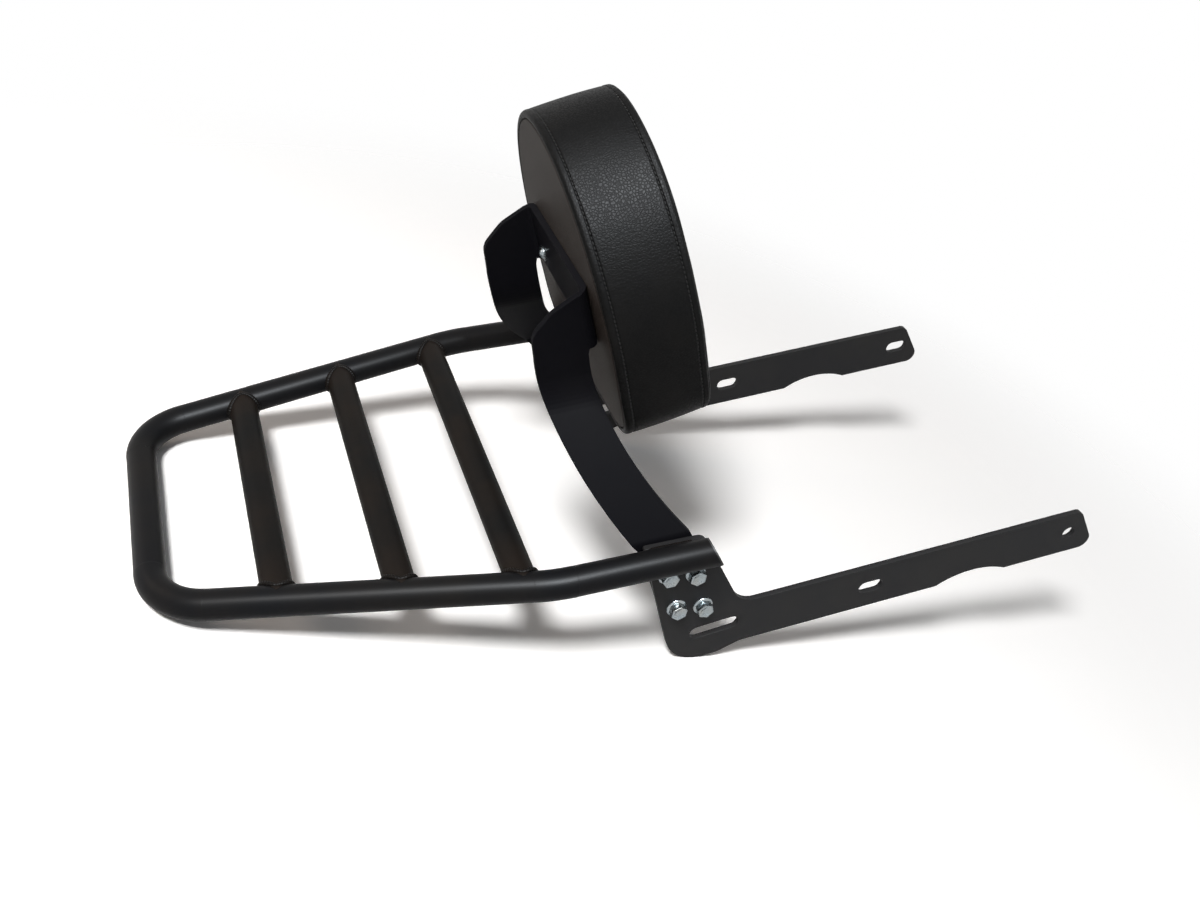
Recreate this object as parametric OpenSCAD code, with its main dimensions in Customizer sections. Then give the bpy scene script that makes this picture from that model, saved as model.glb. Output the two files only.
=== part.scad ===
// Motorcycle backrest with luggage rack.
// X points forward along the arm plates, Y to the left, Z up.
// The origin is midway between the front bolt holes of the two arm plates.

/* [Arm plates] */
// Width over the outer faces of the two arm plates
arm_spread = 333; // [300:1:360]
// Thickness of the arm plates
arm_t = 5; // [4:0.5:6]
// Height of an arm
arm_h = 48; // [42:1:54]
// Reach of the arm past its front hole
arm_reach = 26; // [20:1:32]
// Distance from the front hole to the middle slot
hole_pitch = 207; // [180:1:215]
// Diameter of the front hole and width of the slots that share its bolt
hole_d = 13; // [9:0.5:14]
// End-to-end length of a middle slot, and of the left front slot
slot_l = 24; // [18:1:28]
// Width of the long adjusting slot in the foot
long_slot_w = 13.5; // [8:0.5:16]
// End-to-end length of the long adjusting slot
long_slot_l = 46; // [36:1:50]

/* [Luggage rack] */
// Outside diameter of the rack tube
tube_d = 25; // [22:0.5:28]
// Wall of the rack tube
tube_wall = 2; // [1.5:0.25:3]
// Rear bar of the rack, measured back from the front holes
rack_rear = 800; // [740:5:840]
// Half width of the rear bar between the corner vertices
rack_rear_half = 114; // [105:1:125]
// Place where the side rails start to taper
rack_knee = 503; // [480:1:520]
// Centre-line radius of the two rear corners
corner_r = 48; // [40:1:60]
// Distance from one cross tube to the next
cross_pitch = 91.2; // [80:0.1:95]
// Rise of the rack towards the rear
rack_rise = 3.13; // [1:0.01:5]

/* [Backrest hoop] */
// Thickness of the bent hoop sheet
hoop_t = 5; // [4:0.5:6]
// Outside width of the hoop behind the pad
crown_w = 152; // [140:1:170]
// Inward lean of the legs
leg_lean = 39.5; // [35:0.5:42]
// Rearward lean of the pad
pad_lean = 8.64; // [5:0.01:12]

/* [Fasteners] */
// Diameter of the hoop bolts
bolt_d = 8; // [6:1:8]
// Diameter of the pad bolts
pad_bolt_d = 6; // [5:1:6]

/* [Pad] */
// Width of the pad
pad_w = 232; // [210:1:250]
// Height of the pad
pad_h = 249; // [230:1:260]
// Depth of the pad from the back seam to the front seam
pad_depth = 73; // [50:1:80]
// Thickness of the pad cover
cover_t = 2; // [1.5:0.25:2.5]

/* [Hidden] */
$fn = 48;

// Running clearance of a bolt in its hole and in its nut
bolt_play = 0.5;
thread_play = 0.05;
// Play that keeps soft and loose layers of the pad apart
layer_play = 0.1;

arm_y = arm_spread / 2;
hoop_y = arm_y - arm_t;
hoop_in = hoop_y - hoop_t;
crown_y = crown_w / 2;
tube_r = tube_d / 2;

// Outline heights and places of the arm plate, measured from the front hole
tip_slant = 23;
arm_top = 113;
foot_low = -31;
foot_x = -370;
arm_front_top = -371.5;
arm_rear_top = -424;
arm_front_low = -335.5;
// The plate's top edge runs along the tube
arm_rear_z = arm_top + (arm_front_top - arm_rear_top) * tan(rack_rise);
relief_x = -100.8;
relief_half = 36;
relief_depth = 9;
long_slot_x = -359;
long_slot_z = 1.6;
long_slot_tilt = 3;

// Four bolts a side: rows drop forward and columns lean back with the plate
bolt_x = -387;
bolt_z = 57;
bolt_row = [24.2, -5.8];
bolt_col = [-7.8, 41];

// Height of the rack tube's axis over the front holes
rack_z = 87;
rail_front = 368.5;
// The tube's front ends are cut along the plates' front edges
end_slant = 25;
knee_r = 150;
// Straight tube is a hair thinner than the bends and runs on into them
hair = 0.1;
lap = 0.5;
rail_y = arm_y + tube_r - hair;

// Bend heights of the hoop legs
low_bend_z = 116;
low_bend_r = 6;
high_bend_r = 45;
high_bend_z = low_bend_z + (hoop_y - crown_y) / tan(leg_lean);
crown_bend_r = 4;

// Foot of the pad's back plane
pad_x = -391.9;
pad_z = 24.3;
pad_low = 146;
pad_arch = 155;
pad_corner = 42;
pad_bolt_y = 52;
pad_bolt_u = 250;
margin = 6;
board_t = 8;
panel_t = 2;
crown_dome = 7;

STEEL = [0.09, 0.09, 0.10];
ZINC = [0.78, 0.79, 0.80];
HIDE = [0.06, 0.06, 0.065];
PANEL = [0.27, 0.23, 0.21];

function unit(v) = v / norm(v);
function at(c, r, a) = c + r * [cos(a), sin(a)];
function arc(c, r, a0, a1, n) = [for (i = [0:n]) at(c, r, a0 + (a1 - a0) * i / n)];
function curve(a, b, c, n) =
    [for (i = [0:n]) let (t = i / n) (1 - t) * (1 - t) * a + 2 * t * (1 - t) * b + t * t * c];

// One corner of an outline, rounded to radius q[2]
function corner(p, q, s, n) =
    let (
        m = [q[0], q[1]],
        u = unit([p[0], p[1]] - m),
        v = unit([s[0], s[1]] - m),
        half = acos(u * v) / 2,
        c = m + unit(u + v) * q[2] / sin(half),
        f = m + u * q[2] / tan(half) - c,
        g = m + v * q[2] / tan(half) - c,
        a0 = atan2(f[1], f[0]),
        turn = atan2(g[1], g[0]) - a0,
        sweep = turn > 180 ? turn - 360 : turn < -180 ? turn + 360 : turn
    )
    q[2] == 0 ? [m] : arc(c, q[2], a0, a0 + sweep, n);

// Closed outline through [x, y, radius] corners
function rounded(pts, n = 6) =
    let (k = len(pts))
    [for (i = [0:k - 1]) each corner(pts[(i + k - 1) % k], pts[i], pts[(i + 1) % k], n)];

// A plain point as a sharp corner
function sharp(pts) = [for (p = pts) [p[0], p[1], 0]];

// Prism of an outline drawn in X and Z, from y0 to y1
module prism_y(y0, y1) {
    translate([0, y1, 0])
        rotate([90, 0, 0])
            linear_extrude(y1 - y0)
                children();
}

// Round bar along Y
module bar_y(d, y0, y1, x = 0, z = 0) {
    translate([x, y1, z])
        rotate([90, 0, 0])
            cylinder(d = d, h = y1 - y0);
}

// The children on the right side, or mirrored to the left
module on_side(left) {
    mirror([0, left ? 1 : 0, 0])
        children();
}

// Slotted hole through the right arm plate
module slot_y(length, width, x, z, tilt = 0) {
    half = (length - width) / 2;
    translate([x, 0, z])
        rotate([0, -tilt, 0])
            union() {
                for (s = [-1, 1])
                    bar_y(width, -arm_y - 1, -hoop_y + 1, s * half);
                prism_y(-arm_y - 1, -hoop_y + 1)
                    square([2 * half, width], center = true);
            }
}

function bolt_at(i, j) = [bolt_x, bolt_z] + (i - 0.5) * bolt_row + (j - 0.5) * bolt_col;

// The children at each of the four hoop bolts of the right side
module at_hoop_bolts() {
    for (i = [0, 1])
        for (j = [0, 1])
            translate([bolt_at(i, j)[0], 0, bolt_at(i, j)[1]])
                children();
}

relief_r = (relief_half * relief_half + relief_depth * relief_depth) / (2 * relief_depth);
relief_turn = asin(relief_half / relief_r);

arm_outline = rounded(concat(
    [[arm_reach + 6 - tip_slant, arm_h / 2, 9], [arm_reach + 6, -arm_h / 2, 10]],
    sharp(arc([relief_x, -arm_h / 2 + relief_depth - relief_r], relief_r,
        90 - relief_turn, 90 + relief_turn, 12)),
    [
        [foot_x + 36, -arm_h / 2, 20],
        [foot_x + 14, foot_low, 20],
        [-398.5, foot_low, 34],
        [arm_rear_top, arm_rear_z, 2],
        [arm_front_top, arm_top, 9],
        [arm_front_low, arm_h / 2, 22]
    ]));

module arm_plate(left) {
    color(STEEL)
        on_side(left)
            difference() {
                prism_y(-arm_y, -hoop_y)
                    polygon(arm_outline);
                if (left)
                    slot_y(slot_l, hole_d, 0, 0);
                else
                    bar_y(hole_d, -arm_y - 1, -hoop_y + 1);
                slot_y(slot_l, hole_d, -hole_pitch, 0);
                slot_y(long_slot_l, long_slot_w, long_slot_x, long_slot_z, long_slot_tilt);
                at_hoop_bolts()
                    bar_y(bolt_d + 2 * bolt_play, -arm_y - 1, -hoop_y + 1);
            }
}

module arm_plate_right() { arm_plate(false); }
module arm_plate_left() { arm_plate(true); }

// The plane of the rack, with X still forward and the tube's axis at height 0
module rack_frame() {
    translate([0, 0, rack_z])
        rotate([0, rack_rise, 0])
            children();
}

taper = atan((rail_y - rack_rear_half) / (rack_rear - rack_knee));
corner_turn = 90 - taper;
corner_run = corner_r * tan(corner_turn / 2);
knee_run = knee_r * tan(taper / 2);
corner_at = [-rack_rear, -rack_rear_half];
knee_at = [-rack_knee, -rail_y];
rail_dir = unit(knee_at - corner_at);

// Round bar between two points of the rack plane
module bar(p, q, r) {
    d = q - p;
    translate([p[0], p[1], 0])
        rotate([0, 0, atan2(d[1], d[0])])
            rotate([0, 90, 0])
                translate([0, 0, -lap])
                    cylinder(r = r - hair, h = norm(d) + 2 * lap);
}

// Bent round bar about centre c
module bend(c, radius, a0, sweep, r) {
    translate([c[0], c[1], 0])
        rotate([0, 0, a0])
            rotate_extrude(angle = sweep, $fn = 96)
                translate([radius, 0])
                    circle(r = r, $fn = 48);
}

// Right half of the loop, from the tube's front end to the middle of the rear bar
module half_loop(r, past) {
    bar([-rack_knee + knee_run, -rail_y], [-rail_front + past - lap, -rail_y], r);
    bend([-rack_knee + knee_run, -rail_y + knee_r], knee_r, -90 - taper, taper, r);
    bar(corner_at + rail_dir * corner_run, knee_at - rail_dir * knee_run, r);
    bend([-rack_rear + corner_r, -rack_rear_half + corner_run], corner_r, 180, corner_turn, r);
    bar([-rack_rear, -rack_rear_half + corner_run], [-rack_rear, 0], r);
}

module loop_solid(r, past = 0) {
    union() {
        half_loop(r, past);
        mirror([0, 1, 0])
            half_loop(r, past);
    }
}

// All that lies ahead of the slanted tube ends, or ahead of them by a further distance
module ahead(by = 0) {
    translate([-rail_front + by, -arm_spread, 0])
        rotate([0, -end_slant, 0])
            translate([0, 0, -50])
                cube([100, 2 * arm_spread, 100]);
}

module rack_loop() {
    color(STEEL)
        rack_frame()
            difference() {
                loop_solid(tube_r, 8);
                loop_solid(tube_r - tube_wall, 9);
                ahead();
            }
}

function cross_x(i) = -rack_rear + i * cross_pitch;
function rail_at(x) = rack_rear_half + (x + rack_rear) * tan(taper);

// Cross tube number i from the rear, coped to sit on both side rails
module cross_tube(i) {
    reach = rail_at(cross_x(i));
    color(STEEL)
        rack_frame()
            difference() {
                bar_y(tube_d, -reach, reach, cross_x(i));
                bar_y(tube_d - 2 * tube_wall, -reach - 1, reach + 1, cross_x(i));
                loop_solid(tube_r);
            }
}

module cross_tube_rear() { cross_tube(1); }
module cross_tube_middle() { cross_tube(2); }
module cross_tube_front() { cross_tube(3); }

// Beads above and below the tube where it lies on the arm plate
module arm_weld(height, r) {
    difference() {
        translate([arm_front_top - 11, -arm_y - 1.3, height])
            rotate([0, -90, 0])
                cylinder(r = r, h = 38);
        bar([-rail_front - 80, -rail_y], [-rail_front + 10, -rail_y], tube_r);
        translate([-rail_front - 80, -arm_y, -30])
            cube([100, 20, 60]);
    }
}

module arm_welds() {
    color(STEEL)
        for (s = [0, 1])
            mirror([0, s, 0])
                rack_frame() {
                    arm_weld(5, 2.2);
                    arm_weld(-6.5, 2.6);
                }
}

// Plugs in the two front ends of the loop, capped flush with the tube
plug_cap = 1.5;

module plug_bar(r) {
    translate([-rail_front - 20, -rail_y, 0])
        rotate([0, 90, 0])
            cylinder(r = r, h = 40);
}

module tube_plug() {
    difference() {
        union() {
            plug_bar(tube_r - tube_wall - hair - thread_play);
            intersection() {
                plug_bar(tube_r - 0.3);
                ahead();
            }
        }
        ahead(plug_cap);
    }
}

module tube_plugs() {
    color([0.05, 0.05, 0.05])
        rack_frame()
            for (s = [0, 1])
                mirror([0, s, 0])
                    tube_plug();
}

// Side outline of a hoop leg with the flange behind the pad
leg_outline = rounded(concat(
    [[-405, 21, 8], [-355, 17, 10], [-380, 112, 6]],
    sharp(curve([-381.5, 116], [-434, 177.5], [-437, 250], 14)),
    [[-436, 256, 0], [-443, 300, 0], [-444, 305, 0], [-465, 294, 24], [-482, 276, 16]],
    sharp(curve([-481, 258], [-480, 180.5], [-424.5, 106], 14))), 6);

// Front outline of the right leg: upright base, inward lean, upright flange
bend_shift = hoop_t * tan(leg_lean / 2);
leg_section = rounded([
    [-hoop_y, 0, 0],
    [-hoop_y, low_bend_z, low_bend_r + hoop_t],
    [-crown_y, high_bend_z, high_bend_r],
    [-crown_y, 330, 0],
    [-crown_y + hoop_t, 330, 0],
    [-crown_y + hoop_t, high_bend_z - bend_shift, high_bend_r + hoop_t],
    [-hoop_in, low_bend_z - bend_shift, low_bend_r],
    [-hoop_in, 0, 0]
], 8);

module hoop_leg() {
    intersection() {
        prism_y(-200, 0)
            polygon(leg_outline);
        translate([-520, 0, 0])
            rotate([90, 0, 90])
                linear_extrude(200)
                    polygon(leg_section);
    }
}

// The plane of the pad's back, with X forward through the pad and Z up along it
module pad_frame() {
    translate([pad_x, 0, pad_z])
        rotate([0, -pad_lean, 0])
            children();
}

// Plan section of the crown: a channel open to the rear
module crown_section() {
    r_out = crown_bend_r + hoop_t;
    difference() {
        polygon(rounded([[-12, -crown_y, 0], [0, -crown_y, r_out], [0, crown_y, r_out], [-12, crown_y, 0]]));
        polygon(rounded([
            [-13, -crown_y + hoop_t, 0],
            [-hoop_t, -crown_y + hoop_t, crown_bend_r],
            [-hoop_t, crown_y - hoop_t, crown_bend_r],
            [-13, crown_y - hoop_t, 0]
        ]));
    }
}

crown_outline = [[-423, 256.5], [-453, 253.5], [-453, 300.5], [-435, 309], [-428, 309]];

module crown() {
    intersection() {
        pad_frame()
            translate([0, 0, 200])
                linear_extrude(120)
                    crown_section();
        prism_y(-100, 100)
            polygon(crown_outline);
    }
}

module backrest_hoop() {
    color(STEEL)
        difference() {
            union() {
                hoop_leg();
                mirror([0, 1, 0])
                    hoop_leg();
                crown();
            }
            at_hoop_bolts()
                bar_y(bolt_d + 2 * bolt_play, -arm_y - 1, arm_y + 1);
            pad_frame()
                at_pad_bolts()
                    rotate([0, 90, 0])
                        translate([0, 0, -20])
                            cylinder(d = pad_bolt_d + bolt_play, h = 30);
        }
}

// Flange bolt: head outside the arm plate, shank through plate, hoop and nut
flange_d = 2.24 * bolt_d;
hex_af = 1.625 * bolt_d;
head_h = bolt_d;
nut_h = bolt_d;

module hex_head(height) {
    rotate([90, 30, 0])
        cylinder(d = hex_af / cos(30), h = height, $fn = 6);
}

module hoop_bolts(left) {
    color(ZINC)
        on_side(left)
            at_hoop_bolts() {
                translate([0, -arm_y - 1.5, 0])
                    hex_head(head_h - 1.5);
                bar_y(flange_d, -arm_y - 1.5, -arm_y);
                bar_y(bolt_d, -arm_y - 0.5, -hoop_in + nut_h + 2);
            }
}

module hoop_bolts_right() { hoop_bolts(false); }
module hoop_bolts_left() { hoop_bolts(true); }

module hoop_nuts(left) {
    color(ZINC)
        on_side(left)
            at_hoop_bolts()
                difference() {
                    union() {
                        bar_y(flange_d, -hoop_in, -hoop_in + 1.5);
                        translate([0, -hoop_in + nut_h, 0])
                            hex_head(nut_h);
                    }
                    bar_y(bolt_d + 2 * thread_play, -hoop_in - 1, -hoop_in + nut_h + 1);
                }
}

module hoop_nuts_right() { hoop_nuts(false); }
module hoop_nuts_left() { hoop_nuts(true); }

// The children at each pad bolt, on the pad's back plane
module at_pad_bolts() {
    for (s = [-1, 1])
        translate([0, s * pad_bolt_y, pad_bolt_u])
            children();
}

// Outline of the pad in its own plane, drawn in by the given amount: arched top, flat foot
function pad_outline(inset, n = 26) =
    let (
        a = pad_w / 2 - inset,
        low = pad_low + inset,
        mid = pad_low + pad_h - pad_arch,
        foot = a - 8
    )
    rounded(concat(
        [[foot, low, pad_corner - inset]],
        sharp([for (i = [0:n]) [a * cos(180 * i / n), mid + (pad_arch - inset) * sin(180 * i / n)]]),
        [[-foot, low, pad_corner - inset]]), 7);

// Slab of the pad outline from depth x0 to x1 in front of the back plane
module pad_slab(inset, x0, x1) {
    translate([x0, 0, 0])
        rotate([90, 0, 90])
            linear_extrude(x1 - x0)
                polygon(pad_outline(inset));
}

module pad_back_panel() {
    color(PANEL)
        pad_frame()
            difference() {
                pad_slab(margin + layer_play, 0, panel_t);
                at_pad_bolts()
                    rotate([0, 90, 0])
                        translate([0, 0, -1])
                            cylinder(d = pad_bolt_d + bolt_play, h = panel_t + 2);
            }
}

tee_d = pad_bolt_d + 2;
tee_flange = 18;

module pad_board() {
    color([0.45, 0.36, 0.26])
        pad_frame()
            difference() {
                pad_slab(cover_t + layer_play, panel_t, panel_t + board_t);
                at_pad_bolts()
                    rotate([0, 90, 0])
                        cylinder(d = tee_d, h = panel_t + board_t + 1);
            }
}

// Block of foam with a shallow domed front
module pad_block(inset, x0, x1, dome) {
    hull() {
        pad_slab(inset, x0, x1);
        pad_slab(inset + 12, x1, x1 + dome);
    }
}

module pad_foam() {
    color([0.75, 0.72, 0.62])
        pad_frame()
            difference() {
                pad_block(cover_t + layer_play, panel_t + board_t, pad_depth - cover_t, crown_dome);
                at_pad_bolts()
                    rotate([0, 90, 0])
                        cylinder(d = tee_flange + 1, h = panel_t + board_t + 8);
            }
}

module pad_cover() {
    color(HIDE)
        pad_frame()
            difference() {
                pad_block(0, 0, pad_depth, crown_dome);
                pad_block(cover_t, panel_t, pad_depth - cover_t, crown_dome + layer_play);
                pad_slab(margin, -1, panel_t + 1);
            }
}

module pad_bolts() {
    color(ZINC)
        pad_frame()
            at_pad_bolts()
                rotate([0, 90, 0])
                    translate([0, 0, -hoop_t - 1.5]) {
                        cylinder(d = pad_bolt_d, h = hoop_t + 1.5 + panel_t + board_t + 4);
                        translate([0, 0, -3.2])
                            rotate_extrude()
                                polygon(concat([[0, 3.2], [5.2, 3.2]], arc([0, 5.2], 5.2, -25, -90, 7)));
                    }
}

module pad_washers() {
    color(ZINC)
        pad_frame()
            at_pad_bolts()
                rotate([0, 90, 0])
                    translate([0, 0, -hoop_t - 1.5])
                        difference() {
                            cylinder(d = 2 * pad_bolt_d + 2, h = 1.5);
                            translate([0, 0, -1])
                                cylinder(d = pad_bolt_d + bolt_play, h = 4);
                        }
}

module pad_tee_nuts() {
    color(ZINC)
        pad_frame()
            at_pad_bolts()
                rotate([0, 90, 0])
                    difference() {
                        union() {
                            translate([0, 0, panel_t])
                                cylinder(d = tee_d - 2 * thread_play, h = board_t);
                            translate([0, 0, panel_t + board_t])
                                cylinder(d = tee_flange, h = 1.5);
                        }
                        cylinder(d = pad_bolt_d + 2 * thread_play, h = 30);
                    }
}

rack_loop();
cross_tube_rear();
cross_tube_middle();
cross_tube_front();
arm_plate_right();
arm_plate_left();
arm_welds();
tube_plugs();
backrest_hoop();
hoop_bolts_right();
hoop_bolts_left();
hoop_nuts_right();
hoop_nuts_left();
pad_back_panel();
pad_board();
pad_foam();
pad_cover();
pad_bolts();
pad_washers();
pad_tee_nuts();
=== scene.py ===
import bmesh
import bpy
import math
from mathutils import Matrix, Vector, noise
from mathutils.bvhtree import BVHTree


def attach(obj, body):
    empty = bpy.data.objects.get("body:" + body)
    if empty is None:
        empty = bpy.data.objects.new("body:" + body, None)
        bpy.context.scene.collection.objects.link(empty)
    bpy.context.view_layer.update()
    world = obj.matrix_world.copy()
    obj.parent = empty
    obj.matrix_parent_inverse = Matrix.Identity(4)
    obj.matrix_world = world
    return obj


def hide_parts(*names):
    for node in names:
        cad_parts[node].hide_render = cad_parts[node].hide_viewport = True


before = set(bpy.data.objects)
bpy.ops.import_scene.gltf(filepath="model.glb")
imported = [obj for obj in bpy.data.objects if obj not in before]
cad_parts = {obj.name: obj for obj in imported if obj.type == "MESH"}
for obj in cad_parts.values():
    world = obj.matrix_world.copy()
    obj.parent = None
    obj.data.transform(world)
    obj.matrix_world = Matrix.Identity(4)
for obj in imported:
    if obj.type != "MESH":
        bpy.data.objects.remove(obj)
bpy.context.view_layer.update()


# Rack loop.
# One length of 25 mm steel tube, bent at four places in a tube bender and coated satin black.
# Its two open ends lie along the arm plates, and its rear bar carries the luggage.

def put(tree, kind, inputs=None, **settings):
    """A new node with its sockets and settings filled in."""
    node = tree.nodes.new(kind)
    for key, value in settings.items():
        setattr(node, key, value)
    for key, value in (inputs or {}).items():
        node.inputs[key].default_value = value
    return node


def wire(tree, start, out, end, into):
    tree.links.new(start.outputs[out], end.inputs[into])


def effect(name, takes, gives):
    """An empty shader group with named sockets, and its two end nodes."""
    tree = bpy.data.node_groups.new(name, "ShaderNodeTree")
    for label, kind, value in takes:
        socket = tree.interface.new_socket(label, in_out="INPUT", socket_type=kind)
        socket.default_value = value
    for label, kind in gives:
        tree.interface.new_socket(label, in_out="OUTPUT", socket_type=kind)
    return tree, tree.nodes.new("NodeGroupInput"), tree.nodes.new("NodeGroupOutput")


def finish_of(name, **plain):
    """A new material, its node tree and its Principled shader with plain sockets set."""
    material = bpy.data.materials.new(name)
    material.use_nodes = True
    shader = material.node_tree.nodes["Principled BSDF"]
    for key, value in plain.items():
        shader.inputs[key.replace("_", " ")].default_value = value
    return material, material.node_tree, shader


# Rounded edges: bent normals within a small radius of an edge, and a mask where they bend.
soft_edge, takes, gives = effect(
    "soft_edge",
    [("Radius", "NodeSocketFloat", 0.0008)],
    [("Normal", "NodeSocketVector"), ("Edge", "NodeSocketFloat")])
rounded = put(soft_edge, "ShaderNodeBevel", samples=6)
flat = put(soft_edge, "ShaderNodeNewGeometry")
turned = put(soft_edge, "ShaderNodeVectorMath", operation="DOT_PRODUCT")
edge = put(soft_edge, "ShaderNodeMapRange", {"From Min": 0.995, "From Max": 0.82})
wire(soft_edge, takes, "Radius", rounded, "Radius")
wire(soft_edge, rounded, "Normal", turned, 0)
wire(soft_edge, flat, "Normal", turned, 1)
wire(soft_edge, turned, "Value", edge, "Value")
wire(soft_edge, rounded, "Normal", gives, "Normal")
wire(soft_edge, edge, "Result", gives, "Edge")

# Baked coating: slow clouds of tone, fine orange peel, duller and shinier patches, and lighter
# edges that are partly rubbed wear and partly a painted highlight.
coating, takes, gives = effect(
    "coating",
    [("Colour", "NodeSocketColor", (0.02, 0.02, 0.02, 1)),
     ("Cloud Colour", "NodeSocketColor", (0.03, 0.03, 0.03, 1)),
     ("Worn Lit Edge Colour", "NodeSocketColor", (0.08, 0.08, 0.08, 1)),
     ("Cloud Scale", "NodeSocketFloat", 14.0),
     ("Peel Scale", "NodeSocketFloat", 1300.0),
     ("Peel Depth", "NodeSocketFloat", 0.00004),
     ("Gloss", "NodeSocketFloat", 0.38),
     ("Dull", "NodeSocketFloat", 0.52),
     ("Edge", "NodeSocketFloat", 0.0),
     ("Normal", "NodeSocketVector", (0, 0, 0))],
    [("Colour", "NodeSocketColor"), ("Roughness", "NodeSocketFloat"),
     ("Normal", "NodeSocketVector")])
place = put(coating, "ShaderNodeTexCoord")
clouds = put(coating, "ShaderNodeTexNoise", {"Detail": 4.0, "Roughness": 0.6})
cloud_step = put(coating, "ShaderNodeMapRange", {"From Min": 0.38, "From Max": 0.68})
fleck = put(coating, "ShaderNodeTexNoise", {"Scale": 420.0, "Detail": 3.0, "Roughness": 0.65})
peel = put(coating, "ShaderNodeTexNoise", {"Detail": 2.0, "Roughness": 0.5})
cloudy = put(coating, "ShaderNodeMix", data_type="RGBA")
# Lighter edges: partly rubbed wear, partly a painted highlight along each edge.
worn_lit_edges = put(coating, "ShaderNodeMix", data_type="RGBA")
edge_share = put(coating, "ShaderNodeMath", {1: 0.45}, operation="MULTIPLY")
dullness = put(coating, "ShaderNodeMix", data_type="FLOAT")
both = put(coating, "ShaderNodeMath", operation="ADD")
halved = put(coating, "ShaderNodeMath", {1: 0.5}, operation="MULTIPLY")
skin = put(coating, "ShaderNodeBump", {"Strength": 1.0})
for texture in (clouds, fleck, peel):
    wire(coating, place, "Object", texture, "Vector")
wire(coating, takes, "Cloud Scale", clouds, "Scale")
wire(coating, takes, "Peel Scale", peel, "Scale")
wire(coating, clouds, "Fac", cloud_step, "Value")
wire(coating, cloud_step, "Result", cloudy, 0)
wire(coating, takes, "Colour", cloudy, 6)
wire(coating, takes, "Cloud Colour", cloudy, 7)
wire(coating, takes, "Edge", edge_share, 0)
wire(coating, edge_share, "Value", worn_lit_edges, 0)
wire(coating, cloudy, 2, worn_lit_edges, 6)
wire(coating, takes, "Worn Lit Edge Colour", worn_lit_edges, 7)
wire(coating, clouds, "Fac", both, 0)
wire(coating, fleck, "Fac", both, 1)
wire(coating, both, "Value", halved, 0)
wire(coating, halved, "Value", dullness, 0)
wire(coating, takes, "Gloss", dullness, 2)
wire(coating, takes, "Dull", dullness, 3)
wire(coating, peel, "Fac", skin, "Height")
wire(coating, takes, "Peel Depth", skin, "Distance")
wire(coating, takes, "Normal", skin, "Normal")
wire(coating, worn_lit_edges, 2, gives, "Colour")
wire(coating, dullness, 0, gives, "Roughness")
wire(coating, skin, "Normal", gives, "Normal")


def coat(name, colour, cloud, edge_worn_and_lit, radius, specular, **amounts):
    """Black coating over steel, built from the two groups with this piece's own values."""
    material, tree, shader = finish_of(name, Specular_IOR_Level=specular)
    corners = put(tree, "ShaderNodeGroup", node_tree=soft_edge)
    corners.inputs["Radius"].default_value = radius
    layer = put(tree, "ShaderNodeGroup", node_tree=coating)
    layer.inputs["Colour"].default_value = (*colour, 1)
    layer.inputs["Cloud Colour"].default_value = (*cloud, 1)
    layer.inputs["Worn Lit Edge Colour"].default_value = (*edge_worn_and_lit, 1)
    for key, value in amounts.items():
        layer.inputs[key.replace("_", " ")].default_value = value
    wire(tree, corners, "Normal", layer, "Normal")
    wire(tree, corners, "Edge", layer, "Edge")
    wire(tree, layer, "Colour", shader, "Base Color")
    wire(tree, layer, "Roughness", shader, "Roughness")
    wire(tree, layer, "Normal", shader, "Normal")
    return material, tree, shader, layer


def dress(node, material):
    """Gives a CAD node its finish."""
    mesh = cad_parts[node].data
    mesh.materials.clear()
    mesh.materials.append(material)


tube_edge = 0.0006
tube_black, _, _, _ = coat(
    "tube_black", (0.0054, 0.0060, 0.0074), (0.0092, 0.0084, 0.0080), (0.022, 0.021, 0.02),
    tube_edge, 0.06,
    Cloud_Scale=11.0, Peel_Scale=900.0, Peel_Depth=0.00006, Gloss=0.33, Dull=0.47)
dress("rack_loop", tube_black)


# Cross tubes.
# Three lengths of the same tube, coped at both ends to fit the side rails and welded on.
# The coating is made slightly browner over the last few centimetres next to each rail.

rack_plane = Matrix.Translation((0, 0, 0.087)) @ Matrix.Rotation(math.radians(3.13), 4, "Y")
rail_y = 0.1789
rear_half = 0.114
rear_x = -0.8
knee_x = -0.503
tube_r = 0.0125
cross_pitch = 0.0912
taper = math.atan((rail_y - rear_half) / (knee_x - rear_x))
brown_reach = 0.052
brown_full = 0.014

# The cloud colour is brownish. The clouds themselves are random tone, and their brown is a painted
# warm reflection along the tubes.
cross_black, tree, shader, layer = coat(
    "cross_tube_black", (0.0050, 0.0049, 0.0048), (0.0100, 0.0076, 0.0060),
    (0.022, 0.021, 0.02), tube_edge, 0.05,
    Cloud_Scale=16.0, Peel_Scale=900.0, Peel_Depth=0.00006, Gloss=0.42, Dull=0.56)
where = put(tree, "ShaderNodeTexCoord")
axes = put(tree, "ShaderNodeSeparateXYZ")
aside = put(tree, "ShaderNodeMath", operation="ABSOLUTE")
rail = put(tree, "ShaderNodeMath", {1: math.tan(taper), 2: rear_half - rear_x * math.tan(taper)},
           operation="MULTIPLY_ADD")
gap = put(tree, "ShaderNodeMath", operation="SUBTRACT")
end_browning = put(tree, "ShaderNodeMapRange",
           {"From Min": brown_reach, "From Max": brown_full, "To Max": 0.4},
           interpolation_type="SMOOTHSTEP")
brown = put(tree, "ShaderNodeMix", {7: (0.0155, 0.0102, 0.0072, 1)}, data_type="RGBA")
wire(tree, where, "Object", axes, "Vector")
wire(tree, axes, "Y", aside, 0)
wire(tree, axes, "X", rail, 0)
wire(tree, rail, "Value", gap, 0)
wire(tree, aside, "Value", gap, 1)
wire(tree, gap, "Value", end_browning, "Value")
wire(tree, end_browning, "Result", brown, 0)
wire(tree, layer, "Colour", brown, 6)
wire(tree, brown, 2, shader, "Base Color")
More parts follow.
